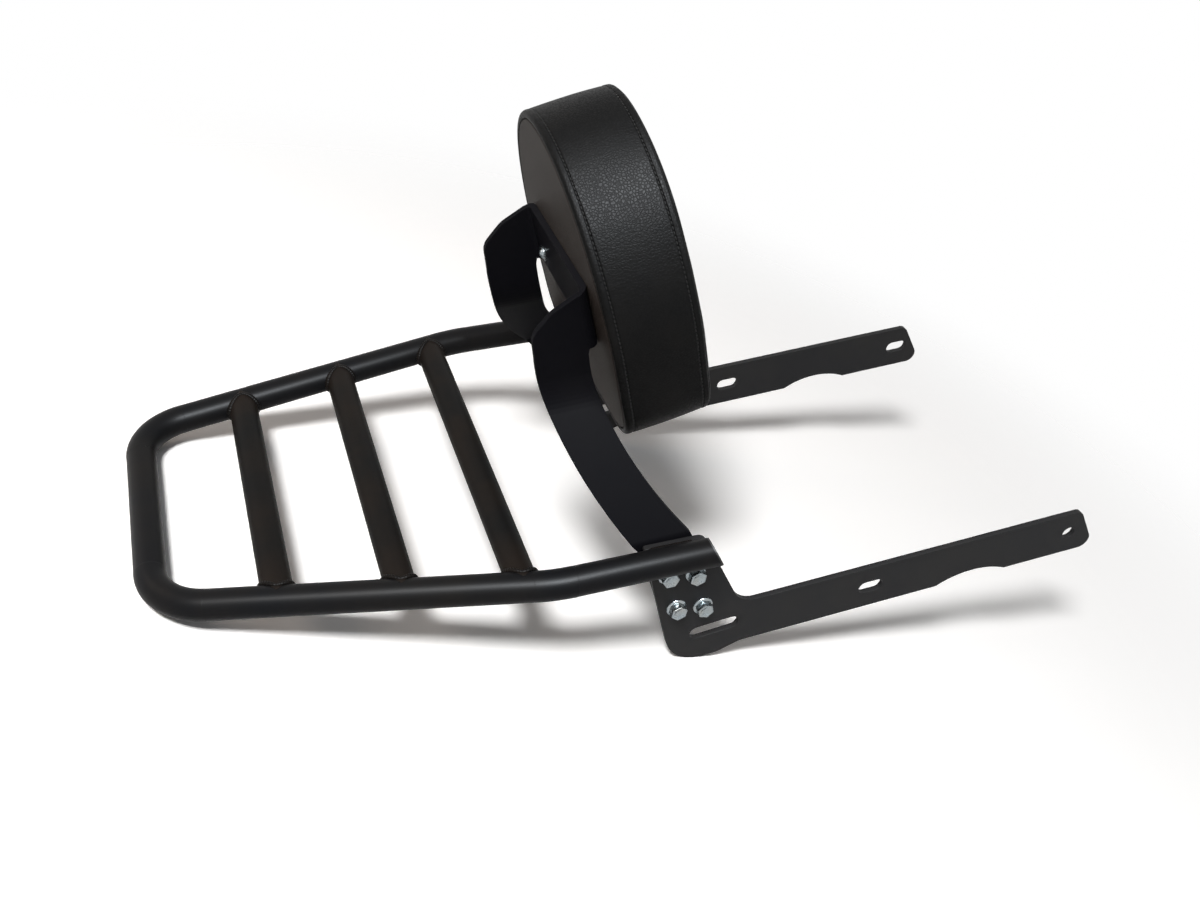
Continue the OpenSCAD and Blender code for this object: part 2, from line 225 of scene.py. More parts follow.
for node in ("cross_tube_rear", "cross_tube_middle", "cross_tube_front"):
    dress(node, cross_black)


# Weld beads of the cross tubes.
# A hand-laid bead runs all round each coped end, in the valley between the two tubes.
# Each stop of the torch leaves a ripple, and the black coating covers it.

def bead_mesh(name, runs, closed):
    """Beads along runs of (point, radius) in metres, as one mesh."""
    line = bpy.data.curves.new(name, "CURVE")
    line.dimensions = "3D"
    line.bevel_depth = 1.0
    line.bevel_resolution = 2
    line.use_fill_caps = not closed
    for run in runs:
        spline = line.splines.new("POLY")
        spline.points.add(len(run) - 1)
        for point, (spot, radius) in zip(spline.points, run):
            point.co = (*spot, 1)
            point.radius = radius
        spline.use_cyclic_u = closed
    holder = bpy.data.objects.new(name + "_line", line)
    bpy.context.scene.collection.objects.link(holder)
    mesh = bpy.data.meshes.new_from_object(holder)
    bpy.data.objects.remove(holder)
    mesh.name = name
    return mesh


def piece_from(name, mesh, material, place=Matrix.Identity(4)):
    """A shown piece with its place in its mesh, its faces outwards and its material on it."""
    mesh.transform(place)
    shape = bmesh.new()
    shape.from_mesh(mesh)
    bmesh.ops.remove_doubles(shape, verts=shape.verts, dist=1e-6)
    bmesh.ops.recalc_face_normals(shape, faces=shape.faces)
    for face in shape.faces:
        face.smooth = True
    shape.to_mesh(mesh)
    shape.free()
    mesh.materials.clear()
    mesh.materials.append(material)
    thing = bpy.data.objects.new(name, mesh)
    bpy.context.scene.collection.objects.link(thing)
    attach(thing, "root")
    return thing


bead_r = 0.0024
bead_least = 0.0015
bead_points = 168
saddle = 0.17
ripple_pitch = 0.0021
runs = []
for i in (1, 2, 3):
    centre_x = rear_x + i * cross_pitch
    for side in (-1, 1):
        run = []
        for k in range(bead_points):
            turn = 2 * math.pi * k / bead_points
            x = centre_x + tube_r * math.cos(turn)
            rail_here = rear_half + (x - rear_x) * math.tan(taper)
            inward = tube_r * math.sqrt(math.cos(turn) ** 2 + saddle) / math.cos(taper)
            y = side * (rail_here - inward)
            spot = Vector((x, y, tube_r * math.sin(turn)))
            off_tube = Vector((math.cos(turn), 0, math.sin(turn)))
            off_rail = Vector((math.sin(taper) * abs(math.cos(turn)),
                               -side * math.cos(taper) * abs(math.cos(turn)), math.sin(turn)))
            out = (off_tube + off_rail).normalized()
            valley = abs(math.cos(turn)) ** 0.6
            ripple = 1 + 0.10 * math.cos(2 * math.pi * k * 0.52 / (ripple_pitch * 1000) + side)
            wander = 0.0003 * noise.noise(spot * 160)
            radius = (bead_least + valley * (bead_r - bead_least)) * ripple
            run.append((spot + out * (-0.0008 + valley * 0.0010 + wander), radius))
        runs.append(run)
bead_black, _, _, _ = coat(
    "bead_black", (0.0052, 0.0048, 0.0045), (0.0088, 0.0070, 0.0058), (0.012, 0.011, 0.01),
    0.0003, 0.05,
    Cloud_Scale=60.0, Peel_Scale=700.0, Peel_Depth=0.00012, Gloss=0.34, Dull=0.5)
beads = piece_from("cross_tube_beads", bead_mesh("cross_tube_beads", runs, True), bead_black,
                   rack_plane)


# Tube plugs.
# Pressed-in black plastic plugs close the two front ends of the loop.
# They are moulded with a fine spark texture and a smooth rim.

plug_black, tree, shader = finish_of("plug_black", Specular_IOR_Level=0.4)
where = put(tree, "ShaderNodeTexCoord")
spark = put(tree, "ShaderNodeTexVoronoi", {"Scale": 1600.0})
spark_skin = put(tree, "ShaderNodeBump", {"Strength": 0.7, "Distance": 0.00008})
scuff = put(tree, "ShaderNodeTexNoise", {"Scale": 240.0, "Detail": 5.0, "Roughness": 0.7})
tone = put(tree, "ShaderNodeValToRGB")
tone.color_ramp.elements[0].color = (0.012, 0.012, 0.012, 1)
tone.color_ramp.elements[1].color = (0.032, 0.031, 0.030, 1)
shine = put(tree, "ShaderNodeMapRange", {"To Min": 0.42, "To Max": 0.66})
corners = put(tree, "ShaderNodeGroup", node_tree=soft_edge)
wire(tree, where, "Object", spark, "Vector")
wire(tree, where, "Object", scuff, "Vector")
wire(tree, spark, "Distance", spark_skin, "Height")
wire(tree, corners, "Normal", spark_skin, "Normal")
wire(tree, scuff, "Fac", tone, "Fac")
wire(tree, scuff, "Fac", shine, "Value")
wire(tree, tone, "Color", shader, "Base Color")
wire(tree, shine, "Result", shader, "Roughness")
wire(tree, spark_skin, "Normal", shader, "Normal")
dress("tube_plugs", plug_black)


# Arm plates.
# Two arms laser cut from 5 mm plate, with a round hole, slots and a relief in the lower edge.
# They are coated a flatter black than the tube, and their edges are a little grey, partly where
# hands and bolts rubbed them and partly as a painted highlight.

sheet_edge = 0.0007
plate_black, _, _, _ = coat(
    "plate_black", (0.0155, 0.0155, 0.0168), (0.0205, 0.0200, 0.0195), (0.035, 0.035, 0.035),
    sheet_edge, 0.11,
    Cloud_Scale=9.0, Peel_Scale=1500.0, Peel_Depth=0.00005, Gloss=0.44, Dull=0.6)
for node in ("arm_plate_right", "arm_plate_left"):
    dress(node, plate_black)


# Arm welds.
# Two short beads hold each front end of the loop to its arm plate, above and below.
# They have the same ripples as the beads of the cross tubes, in a straight run.

plate_outer = 0.1665
weld_from = -0.3825
weld_long = 0.038
weld_out = 0.0013
weld_points = 74
runs = []
for side in (-1, 1):
    for height, radius in ((0.005, 0.0022), (-0.0065, 0.0026)):
        run = []
        for k in range(weld_points):
            share = k / (weld_points - 1)
            end = min(1, 14 * min(share, 1 - share) + 0.35)
            ripple = 1 + 0.09 * math.cos(
                2 * math.pi * k * weld_long / (weld_points - 1) / ripple_pitch)
            spot = Vector((weld_from - share * weld_long, side * (plate_outer + weld_out), height))
            wander = 0.00025 * noise.noise(spot * 190)
            spot += Vector((0, side * wander, wander))
            run.append((spot, radius * ripple * math.sqrt(end)))
        runs.append(run)
arm_beads = piece_from("arm_beads", bead_mesh("arm_beads", runs, False), bead_black, rack_plane)
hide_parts("arm_welds")


# Backrest hoop.
# One strip of 5 mm steel, cut wide where the legs lean in and bent up over a press brake.
# Its base sits inside the arm plates and its crown carries the pad, all coated satin black.

hoop_black, _, _, _ = coat(
    "hoop_black", (0.0046, 0.0046, 0.0062), (0.0068, 0.0067, 0.0080), (0.02, 0.02, 0.021),
    sheet_edge, 0.012,
    Cloud_Scale=8.0, Peel_Scale=1400.0, Peel_Depth=0.00005, Gloss=0.4, Dull=0.55)
dress("backrest_hoop", hoop_black)


# Hoop bolts.
# Eight cold-headed, zinc plated M8 flange bolts hold the hoop to the arms, heads outside.
# The head is dished and chamfered, and the rolled thread shows past the nut inside.

# Bright plating: a thin blue and straw cast, fine draw marks and duller rubbed spots.
plating, takes, gives = effect(
    "plating",
    [("Colour", "NodeSocketColor", (0.62, 0.65, 0.68, 1)),
     ("Cast", "NodeSocketColor", (0.66, 0.62, 0.5, 1))],
    [("Colour", "NodeSocketColor"), ("Roughness", "NodeSocketFloat"),
     ("Height", "NodeSocketFloat")])
place = put(plating, "ShaderNodeTexCoord")
cast = put(plating, "ShaderNodeTexNoise", {"Scale": 95.0, "Detail": 3.0})
cast_step = put(plating, "ShaderNodeMapRange", {"From Min": 0.42, "From Max": 0.7, "To Max": 0.6})
marks = put(plating, "ShaderNodeTexNoise", {"Scale": 900.0, "Detail": 4.0, "Roughness": 0.7})
mixed = put(plating, "ShaderNodeMix", data_type="RGBA")
rough = put(plating, "ShaderNodeMapRange",
            {"From Min": 0.3, "From Max": 0.72, "To Min": 0.17, "To Max": 0.36})
wire(plating, place, "Object", cast, "Vector")
wire(plating, place, "Object", marks, "Vector")
wire(plating, cast, "Fac", cast_step, "Value")
wire(plating, cast_step, "Result", mixed, 0)
wire(plating, takes, "Colour", mixed, 6)
wire(plating, takes, "Cast", mixed, 7)
wire(plating, marks, "Fac", rough, "Value")
wire(plating, mixed, 2, gives, "Colour")
wire(plating, rough, "Result", gives, "Roughness")
wire(plating, marks, "Fac", gives, "Height")


def plated(name, colour, cast_colour):
    material, tree, shader = finish_of(name, Metallic=1.0)
    corners = put(tree, "ShaderNodeGroup", node_tree=soft_edge)
    corners.inputs["Radius"].default_value = 0.0004
    layer = put(tree, "ShaderNodeGroup", node_tree=plating)
    layer.inputs["Colour"].default_value = (*colour, 1)
    layer.inputs["Cast"].default_value = (*cast_colour, 1)
    skin = put(tree, "ShaderNodeBump", {"Strength": 0.5, "Distance": 0.00002})
    wire(tree, layer, "Height", skin, "Height")
    wire(tree, corners, "Normal", skin, "Normal")
    wire(tree, layer, "Colour", shader, "Base Color")
    wire(tree, layer, "Roughness", shader, "Roughness")
    wire(tree, skin, "Normal", shader, "Normal")
    return material


bolt_zinc = plated("bolt_zinc", (0.30, 0.34, 0.36), (0.36, 0.355, 0.33))

flange_r = 0.00896
across_flats = 0.013
head_low = 0.0015
head_high = 0.008
thread_r = 0.004
root_r = 0.0034
thread_from = -0.018
thread_to = -0.0200
thread_pitch = 0.001
hoop_inner = 0.1565
bolts_centre = (-0.387, 0.057)
next_along = (0.0242, -0.0058)
next_up = (-0.0078, 0.041)


def turned_from(shape, profile, steps=40):
    """Turns a profile of (radius, height) about the local Z axis, as on a lathe."""
    spots = [shape.verts.new((r, 0, z)) for r, z in profile]
    edges = [shape.edges.new(pair) for pair in zip(spots, spots[1:])]
    bmesh.ops.spin(shape, geom=spots + edges, cent=(0, 0, 0), axis=(0, 0, 1), dvec=(0, 0, 0),
                   angle=2 * math.pi, steps=steps, use_merge=True)
    bmesh.ops.remove_doubles(shape, verts=shape.verts, dist=1e-7)


def hexagon(shape, across, z0, z1, dish):
    """A hexagon bar from z0 to z1, chamfered at its top corners and dished by the given depth."""
    at = Matrix.Translation((0, 0, z0)) @ Matrix.Rotation(math.pi / 6, 4, "Z")
    ring = bmesh.ops.create_circle(shape, cap_ends=True, segments=6, radius=across / math.sqrt(3),
                                   matrix=at)
    base = list({face for vert in ring["verts"] for face in vert.link_faces})
    raised = bmesh.ops.extrude_face_region(shape, geom=base)
    top = [item for item in raised["geom"] if isinstance(item, bmesh.types.BMVert)]
    bmesh.ops.translate(shape, verts=top, vec=(0, 0, z1 - z0))
    bmesh.ops.bevel(shape, geom=top, offset=0.0011, affect="VERTICES", segments=3, profile=0.5,
                    material=-1)
    lid = [f for f in shape.faces if all(abs(v.co.z - z1) < 1e-6 for v in f.verts)]
    bmesh.ops.bevel(shape, geom=list({e for f in lid for e in f.edges}), offset=0.00035,
                    affect="EDGES", segments=2, profile=0.5, material=-1)
    lid = [f for f in shape.faces if all(abs(v.co.z - z1) < 1e-6 for v in f.verts)]
    bmesh.ops.inset_region(shape, faces=lid, thickness=0.0012, depth=0)
    bmesh.ops.inset_region(shape, faces=lid, thickness=0.0006, depth=-dish)


def bolt_spots():
    """The four bolt centres of one side, as (x, z)."""
    for i in (-0.5, 0.5):
        for j in (-0.5, 0.5):
            yield (bolts_centre[0] + i * next_along[0] + j * next_up[0],
                   bolts_centre[1] + i * next_along[1] + j * next_up[1])


def one_bolt():
    shape = bmesh.new()
    turned_from(shape, [(0, 0), (flange_r, 0), (flange_r, 0.0008), (0.0087, 0.0012),
                        (0.0074, 0.0018), (0.0062, 0.0023), (0, 0.0023)])
    hexagon(shape, across_flats, head_low, head_high, 0.0007)
    thread = [(0, 0.0005), (thread_r, 0.0005), (thread_r, thread_from)]
    z = thread_from
    while z > thread_to:
        thread += [(root_r, z - thread_pitch / 2), (thread_r, z - thread_pitch)]
        z -= thread_pitch
    thread += [(root_r, thread_to), (0, thread_to)]
    turned_from(shape, thread, steps=24)
    return shape


def four_of(make, side, name, material, heads_out):
    """Four like fasteners of one side of the hoop, as one piece."""
    one = make()
    whole = bmesh.new()
    for n, (x, z) in enumerate(bolt_spots()):
        out = -1 if side == "right" else 1
        face = Matrix(((1, 0, 0), (0, 0, out), (0, -out, 0))).to_4x4()
        y = plate_outer * out if heads_out else hoop_inner * out
        if not heads_out:
            face = Matrix(((1, 0, 0), (0, 0, -out), (0, out, 0))).to_4x4()
        spin = Matrix.Rotation(math.radians(17 + 41 * n), 4, "Z")
        mesh = bpy.data.meshes.new("copy")
        one.to_mesh(mesh)
        mesh.transform(Matrix.Translation((x, y, z)) @ face @ spin)
        whole.from_mesh(mesh)
        bpy.data.meshes.remove(mesh)
    mesh = bpy.data.meshes.new(name)
    whole.to_mesh(mesh)
    one.free()
    whole.free()
    return piece_from(name, mesh, material)


for side in ("right", "left"):
    bolts = four_of(one_bolt, side, "flange_bolts_" + side, bolt_zinc, True)
    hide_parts("hoop_bolts_" + side)


# Hoop nuts.
# Flange nuts draw the bolts up against the inside of the hoop.
# They are zinc plated like the bolts, with chamfered corners and a countersunk mouth.

nut_zinc = plated("nut_zinc", (0.30, 0.32, 0.33), (0.34, 0.32, 0.27))


def one_nut():
    shape = bmesh.new()
    turned_from(shape, [(0, 0), (flange_r, 0), (flange_r, 0.0008), (0.0087, 0.0012),
                        (0.0062, 0.0023), (0, 0.0023)])
    hexagon(shape, across_flats, head_low, head_high, 0.0009)
    return shape


for side in ("right", "left"):
    nuts = four_of(one_nut, side, "flange_nuts_" + side, nut_zinc, False)
    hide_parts("hoop_nuts_" + side)


# Pad board.
# A shaped plywood board gives the pad its outline, and the foam and cover are stapled to it.
# The cover hides it, apart from what would show through the bolt holes.

ply, tree, shader = finish_of("ply")
where = put(tree, "ShaderNodeTexCoord")
stretched = put(tree, "ShaderNodeMapping", {"Scale": (1.0, 1.0, 0.12)})
rings = put(tree, "ShaderNodeTexWave", {"Scale": 38.0, "Distortion": 5.5, "Detail": 4.0},
            bands_direction="Y")
fibre = put(tree, "ShaderNodeTexNoise", {"Scale": 700.0, "Detail": 6.0, "Roughness": 0.7})
wood = put(tree, "ShaderNodeValToRGB")
wood.color_ramp.elements[0].color = (0.30, 0.19, 0.10, 1)
wood.color_ramp.elements[1].color = (0.52, 0.38, 0.23, 1)
grain = put(tree, "ShaderNodeBump", {"Strength": 0.6, "Distance": 0.0002})
dry = put(tree, "ShaderNodeMapRange", {"To Min": 0.62, "To Max": 0.85})
wire(tree, where, "Object", stretched, "Vector")
wire(tree, stretched, "Vector", rings, "Vector")
wire(tree, stretched, "Vector", fibre, "Vector")
wire(tree, rings, "Fac", wood, "Fac")
wire(tree, fibre, "Fac", grain, "Height")
wire(tree, fibre, "Fac", dry, "Value")
wire(tree, wood, "Color", shader, "Base Color")
wire(tree, dry, "Result", shader, "Roughness")
wire(tree, grain, "Normal", shader, "Normal")
dress("pad_board", ply)


# Pad bolts, washers and tee nuts.
# Two button-head bolts pass through the crown into tee nuts pressed into the board.
# All are zinc plated, and their heads are the bright spots behind the pad.

for node in ("pad_bolts", "pad_washers"):
    dress(node, bolt_zinc)
dress("pad_tee_nuts", nut_zinc)


# Pad cover.
# Black pebbled leatherette over shaped foam: a band sewn round the edge to a domed front panel.
# The band wraps over the rim to the back, and a row of topstitching follows each of its seams.

pad_plane = Matrix.Translation((-0.3919, 0, 0.0243)) @ Matrix.Rotation(math.radians(-8.64), 4, "Y")
pad_half = 116.0
pad_low = 146.0
pad_mid = 240.0
pad_arch = 155.0
pad_corner = 42.0
pad_heart = Vector((0.0, 252.0))
pad_deep = 73.0


def foot_corner(side):
    """The rounded foot corner of the pad, in millimetres, from the bottom edge up the side."""
    at = Vector((side * (pad_half - 8), pad_low))
    along = Vector((-side, 0))
    up = (Vector((side * pad_half, pad_mid)) - at).normalized()
    half = along.angle(up) / 2
    centre = at + (along + up).normalized() * pad_corner / math.sin(half)
    start = at + along * pad_corner / math.tan(half) - centre
    sweep = (math.pi - 2 * half) * side
    for k in range(25):
        yield centre + Matrix.Rotation(sweep * k / 24, 2) @ start


line = [Vector((0, pad_low)), *foot_corner(1)]
for k in range(97):
    angle = math.pi * k / 96
    line.append(Vector((pad_half * math.cos(angle), pad_mid + pad_arch * math.sin(angle))))
line += [*reversed(list(foot_corner(-1))), Vector((0, pad_low))]
lengths = [0.0]
for a, b in zip(line, line[1:]):
    lengths.append(lengths[-1] + (b - a).length)
pad_round = lengths[-1]


def rim_at(share):
    """Point of the pad outline, a share of the way round from the middle of its foot."""
    want = (share % 1.0) * pad_round
    k = max(i for i, along in enumerate(lengths[:-1]) if along <= want)
    piece = line[k + 1] - line[k]
    return line[k] + piece * ((want - lengths[k]) / max(piece.length, 1e-9))


def rim_point(share, x, inset):
    """Point on the pad's edge, in the pad's own millimetres: depth x, drawn in by inset."""
    ahead = (rim_at(share + 0.003) - rim_at(share - 0.003)).normalized()
    spot = rim_at(share) - Vector((ahead.y, -ahead.x)) * inset
    return Vector((x, spot.x, spot.y))


def panel(shape, turn, reach, cells, depth_at, inset):
    """A grid warped to fill the pad outline, its depth given by how near the rim it is."""
    for vert in bmesh.ops.create_grid(shape, x_segments=cells, y_segments=cells, size=1.0)["verts"]:
        across, up = vert.co.x, vert.co.y
        disc = Vector((across * math.sqrt(1 - up * up / 2),
                       up * math.sqrt(1 - across * across / 2)))
        vert[reach] = min(disc.length, 1.0)
        vert[turn] = (math.atan2(disc.y, disc.x) / (2 * math.pi) + 0.25) % 1.0
        rim = rim_point(vert[turn], 0, inset)
        flat = pad_heart + (Vector((rim.y, rim.z)) - pad_heart) * vert[reach]
        vert.co = (depth_at(vert[reach]), flat.x, flat.y)


def follow_rim(shape, turn, edges, rows):
    """Extrudes an edge ring row by row along (depth, inset), and gives back the last ring."""
    for x, inset in rows:
        new = bmesh.ops.extrude_edge_only(shape, edges=edges)["geom"]
        for item in new:
            if isinstance(item, bmesh.types.BMVert):
                item.co = rim_point(item[turn], x, inset)
        edges = [item for item in new if isinstance(item, bmesh.types.BMEdge) and item.is_boundary]
    return edges


cells = 54
back_line = 6.8
front_line = pad_deep - 6.4
groove = [(1.5, 0.0), (0.9, 0.05), (0.45, 0.6), (0.0, 1.5), (-0.45, 0.6), (-0.9, 0.05), (-1.5, 0.0)]
front_rows = [
    (pad_deep - 0.5, 2.0), (pad_deep - 0.8, 1.0), (pad_deep - 1.5, 0.3), (pad_deep - 2.3, 0.05),
    (pad_deep - 3.6, 0.0)] + [(front_line + x, inset) for x, inset in groove]
span = (front_line - back_line - 6) / 16
band_rows = [(front_line - 3 - span * k, -0.7 * math.sin(math.pi * (k + 0.6) / 17.2))
             for k in range(17)]
back_rows = [(back_line + x, inset) for x, inset in groove] + [
    (4.2, 0.0), (3.1, 0.1), (2.1, 0.4), (1.2, 1.0), (0.5, 2.0), (0.1, 3.3), (0.0, 4.7), (0.3, 5.7),
    (1.1, 6.1), (1.95, 6.2)]


def front_depth(reached):
    """The front panel's dome: it rises steeply beside the seam, then slowly to the middle."""
    return pad_deep + 0.1 + 1.3 * min(1, (1 - reached) / 0.03) ** 0.6 + 4.2 * (1 - reached ** 3)


shape = bmesh.new()
turn = shape.verts.layers.float.new("turn")
reach = shape.verts.layers.float.new("reach")
panel(shape, turn, reach, cells, front_depth, 1.7)
ring = [edge for edge in shape.edges if edge.is_boundary]
follow_rim(shape, turn, ring, front_rows + band_rows + back_rows)
panel(shape, turn, reach, cells, lambda r: 1.95, 6.2)
bmesh.ops.remove_doubles(shape, verts=shape.verts, dist=0.02)
bmesh.ops.recalc_face_normals(shape, faces=shape.faces)
sewn_half = 1.4
slack_over = 9
free = []
for vert in shape.verts:
    x = vert.co.x
    vert_free = 0.0
    if back_line + sewn_half < x < front_line - sewn_half:
        vert_free = (min(1, (x - back_line - sewn_half) / slack_over)
                     * min(1, (front_line - sewn_half - x) / slack_over))
    elif x > pad_deep + 0.6:
        vert_free = min(1, (1 - vert[reach]) / 0.10)
    free.append(vert_free)
turns = [vert[turn] for vert in shape.verts]
depths = [vert.co.x for vert in shape.verts]
for face in shape.faces:
    face.smooth = True
cover_mesh = bpy.data.meshes.new("pad_cover_hide")
shape.to_mesh(cover_mesh)
shape.free()
cover_mesh.transform(pad_plane @ Matrix.Scale(0.001, 4))
cover = bpy.data.objects.new("pad_cover_hide", cover_mesh)
bpy.context.scene.collection.objects.link(cover)

# The foam pushes the hide out between its seams: cloth under pressure, held along each seam.
bulge_most = 0.0022
held = cover.vertex_groups.new(name="sewn")
for n, share in enumerate(free):
    held.add([n], 1 - 0.98 * share, "REPLACE")
start = [vert.co.copy() for vert in cover_mesh.vertices]
filling = cover.modifiers.new("filling", "CLOTH")
filling.settings.quality = 6
filling.settings.mass = 0.4
filling.settings.tension_stiffness = 40
filling.settings.compression_stiffness = 40
filling.settings.shear_stiffness = 20
filling.settings.bending_stiffness = 4
filling.settings.vertex_group_mass = "sewn"
filling.settings.use_pressure = True
filling.settings.uniform_pressure_force = 4
filling.settings.effector_weights.gravity = 0
filling.point_cache.frame_start = 1
filling.point_cache.frame_end = 20
for step in range(1, 21):
    bpy.context.scene.frame_set(step)
blown = cover.evaluated_get(bpy.context.evaluated_depsgraph_get())
moved = [vert.co.copy() for vert in blown.data.vertices]
cover.modifiers.remove(filling)
cover.vertex_groups.clear()
bpy.context.scene.frame_set(1)
for vert, a, b, share in zip(cover_mesh.vertices, start, moved, free):
    shift = b - a
    limit = bulge_most * share
    if shift.length > limit:
        shift = shift * (limit / shift.length)
    vert.co = a + shift


def near_seams(x, width):
    """A value for each seam that falls off with distance from it, at depth x."""
    return (math.exp(-((x - back_line) / width) ** 2),
            math.exp(-((x - front_line) / width) ** 2))


# Puckers beside the stitches, and the slow waviness that hide over foam always has.
pucker_depth = 0.00016
pucker_pitch = 11.5
wave_depth = 0.0006
outward = [vert.normal.copy() for vert in cover_mesh.vertices]
for vert, out, share, x in zip(cover_mesh.vertices, outward, turns, depths):
    phase = 2 * math.pi * share * pad_round / pucker_pitch + 2 * noise.noise(vert.co * 18)
    pucker = pucker_depth * sum(near_seams(x, 5)) * math.cos(phase)
    loose = back_line + 1 < x < front_line - 1 or x > pad_deep + 1
    wave = wave_depth * noise.noise(vert.co * 22) if loose else 0.0
    vert.co += out * (pucker + wave)

# How near each point lies to a seam, for the painted shade along each seam groove.
seam = cover_mesh.attributes.new("seam", "FLOAT", "POINT")
for n, x in enumerate(depths):
    seam.data[n].value = max(near_seams(x, 0.75))
finer = cover.modifiers.new("finer", "SUBSURF")
finer.levels = 1
finer.render_levels = 1

# Pebbled hide: raised cells with a valley round each, in two sizes, pulled slightly out of round.
pebble, takes, gives = effect(
    "pebble",
    [("Cells", "NodeSocketFloat", 780.0), ("Pull", "NodeSocketFloat", 0.0007)],
    [("Height", "NodeSocketFloat"), ("Valley", "NodeSocketFloat"), ("Patch", "NodeSocketFloat")])
place = put(pebble, "ShaderNodeTexCoord")
drift = put(pebble, "ShaderNodeTexNoise", {"Scale": 160.0, "Detail": 2.0})
centred = put(pebble, "ShaderNodeVectorMath", {1: (0.5, 0.5, 0.5)}, operation="SUBTRACT")
pulled = put(pebble, "ShaderNodeVectorMath", operation="SCALE")
shifted = put(pebble, "ShaderNodeVectorMath", operation="ADD")
large = put(pebble, "ShaderNodeTexVoronoi", feature="DISTANCE_TO_EDGE")
small = put(pebble, "ShaderNodeTexVoronoi", feature="DISTANCE_TO_EDGE")
fine_scale = put(pebble, "ShaderNodeMath", {1: 2.3}, operation="MULTIPLY")
large_top = put(pebble, "ShaderNodeMapRange", {"From Max": 0.22}, interpolation_type="SMOOTHSTEP")
small_top = put(pebble, "ShaderNodeMapRange", {"From Max": 0.3, "To Max": 0.35},
                interpolation_type="SMOOTHSTEP")
summed = put(pebble, "ShaderNodeMath", operation="ADD")
valley = put(pebble, "ShaderNodeMath", {0: 1.0}, operation="SUBTRACT", use_clamp=True)
patch = put(pebble, "ShaderNodeTexNoise", {"Scale": 24.0, "Detail": 3.0})
wire(pebble, place, "Object", drift, "Vector")
wire(pebble, drift, "Color", centred, 0)
wire(pebble, centred, "Vector", pulled, 0)
wire(pebble, takes, "Pull", pulled, "Scale")
wire(pebble, place, "Object", shifted, 0)
wire(pebble, pulled, "Vector", shifted, 1)
wire(pebble, shifted, "Vector", large, "Vector")
wire(pebble, shifted, "Vector", small, "Vector")
wire(pebble, takes, "Cells", large, "Scale")
wire(pebble, takes, "Cells", fine_scale, 0)
wire(pebble, fine_scale, "Value", small, "Scale")
wire(pebble, large, "Distance", large_top, "Value")
wire(pebble, small, "Distance", small_top, "Value")
wire(pebble, large_top, "Result", summed, 0)
wire(pebble, small_top, "Result", summed, 1)
wire(pebble, large_top, "Result", valley, 1)
wire(pebble, place, "Object", patch, "Vector")
wire(pebble, summed, "Value", gives, "Height")
wire(pebble, valley, "Value", gives, "Valley")
wire(pebble, patch, "Fac", gives, "Patch")


def grained(name, top, valley_shade, worn, shine, dull, cells_per_metre, depth, specular):
    """Sewn hide or vinyl with the pebble group at its own scale."""
    material, tree, shader = finish_of(name, Specular_IOR_Level=specular)
    cover_grain = put(tree, "ShaderNodeGroup", node_tree=pebble)
    cover_grain.inputs["Cells"].default_value = cells_per_metre
    skin = put(tree, "ShaderNodeBump", {"Strength": 1.0, "Distance": depth})
    # The valleys between the pebbles get a darker colour: painted shade in the grain.
    shaded_valleys = put(tree, "ShaderNodeMix", {6: (*top, 1), 7: (*valley_shade, 1)}, data_type="RGBA")
    patchy = put(tree, "ShaderNodeMix", {7: (*worn, 1)}, data_type="RGBA")
    patch_step = put(tree, "ShaderNodeMapRange",
                     {"From Min": 0.45, "From Max": 0.75, "To Max": 0.7})
    gloss = put(tree, "ShaderNodeMapRange", {"To Min": shine, "To Max": dull})
    wire(tree, cover_grain, "Height", skin, "Height")
    wire(tree, cover_grain, "Valley", shaded_valleys, 0)
    wire(tree, cover_grain, "Patch", patch_step, "Value")
    wire(tree, patch_step, "Result", patchy, 0)
    wire(tree, shaded_valleys, 2, patchy, 6)
    wire(tree, cover_grain, "Valley", gloss, "Value")
    wire(tree, patchy, 2, shader, "Base Color")
    wire(tree, gloss, "Result", shader, "Roughness")
    wire(tree, skin, "Normal", shader, "Normal")
    return material, tree, shader, patchy


hide_black, tree, shader, tone = grained(
    "hide_black", (0.0044, 0.0043, 0.0043), (0.0018, 0.0018, 0.0018), (0.0062, 0.0058, 0.0054),
    0.42, 0.58, 430.0, 0.0001, 0.055)
sewn = put(tree, "ShaderNodeAttribute", attribute_name="seam")
# Darker near each seam: painted shade in the seam groove.
seam_step = put(tree, "ShaderNodeMath", {1: 0.85}, operation="MULTIPLY")
seam_dark = put(tree, "ShaderNodeMix", {7: (0.0008, 0.0008, 0.0008, 1)}, data_type="RGBA")
wire(tree, sewn, "Fac", seam_step, 0)
wire(tree, seam_step, "Value", seam_dark, 0)
wire(tree, tone, 2, seam_dark, 6)
wire(tree, seam_dark, 2, shader, "Base Color")
cover_mesh.materials.append(hide_black)
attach(cover, "root")
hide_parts("pad_cover", "pad_foam")


# Topstitching.
# Two rows of black polyester thread run round the band, along its seams.
# Each stitch is a short twisted loop that sinks into the hide at both ends.

